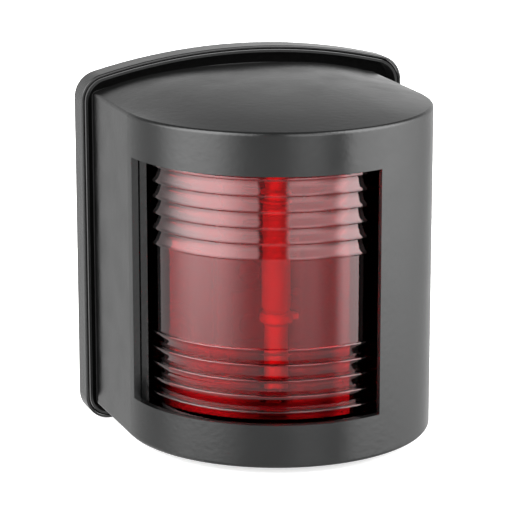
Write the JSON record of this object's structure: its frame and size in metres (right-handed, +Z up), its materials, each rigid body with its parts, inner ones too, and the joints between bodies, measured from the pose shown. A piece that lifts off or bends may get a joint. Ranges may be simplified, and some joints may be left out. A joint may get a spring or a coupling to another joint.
{
  "type": "boat side navigation light",
  "caption": "Wall-mounted port side light for a small boat: a black pull-off hood with a ribbed red lens, a sealed base plate and a festoon lamp on sprung contacts.",
  "frame": {"origin": "on the wall plane, at the middle between the two mounting holes, level with the middle of the lamp and lens", "axes": "+Z up, -Y outboard from the wall, -X towards the bow, +Y into the wall"},
  "size_m": [0.0646, 0.0523, 0.0704],
  "materials": {
    "hood_plastic": "satin gloss, moulded",
    "base_plastic": "satin gloss, moulded",
    "red_lens": "clear polished",
    "foam_rubber": "closed-cell foam",
    "seal_rubber": "smooth matte",
    "carrier_plastic": "moulded, dull black",
    "contact_brass": "rolled strip, slightly dull",
    "screw_steel": "stainless, plain",
    "cap_nickel": "nickel plated",
    "lamp_glass": "clear",
    "tungsten": "drawn wire"
  },
  "bodies": {
    "base": {"base_plate": "base_plastic", "wall_gasket": "foam_rubber", "hood_seal": "seal_rubber", "cable_grommet": "seal_rubber", "contact_carrier": "carrier_plastic", "carrier_screws": "screw_steel", "contact_rivets": "contact_brass", "terminal_clamp_plates": "screw_steel", "terminal_screws": "screw_steel", "upper_contact_foot": "contact_brass", "lower_contact_foot": "contact_brass"},
    "hood": {"hood_shell": "hood_plastic", "lens": "red_lens", "lens_seal_upper": "seal_rubber", "lens_seal_lower": "seal_rubber", "lens_screws": "screw_steel"},
    "lamp": {"lamp_glass": "lamp_glass", "lamp_cap_upper": "cap_nickel", "lamp_cap_lower": "cap_nickel", "lamp_filament": "tungsten", "lamp_lead_wires": "tungsten"},
    "upper_arm": {"upper_contact_arm": "contact_brass"},
    "lower_arm": {"lower_contact_arm": "contact_brass"}
  },
  "joints": [
    {"name": "hood_pull", "type": "slide", "parent": "base", "child": "hood", "axis": [0, -1, 0], "range_m": [0, 0.06]},
    {"name": "lamp_pull", "type": "slide", "parent": "base", "child": "lamp", "axis": [0, -1, 0], "range_m": [0, 0.012]},
    {"name": "upper_contact_flex", "type": "hinge", "parent": "base", "child": "upper_arm", "pos_m": [0, -0.00815, 0.01781], "axis": [-1, 0, 0], "range_deg": [0, 5], "stiffness_Nm_per_rad": 0.4, "springref_deg": -2.86},
    {"name": "lower_contact_flex", "type": "hinge", "parent": "base", "child": "lower_arm", "pos_m": [0, -0.00815, -0.01781], "axis": [1, 0, 0], "range_deg": [0, 5], "stiffness_Nm_per_rad": 0.4, "springref_deg": -2.86}
  ]
}
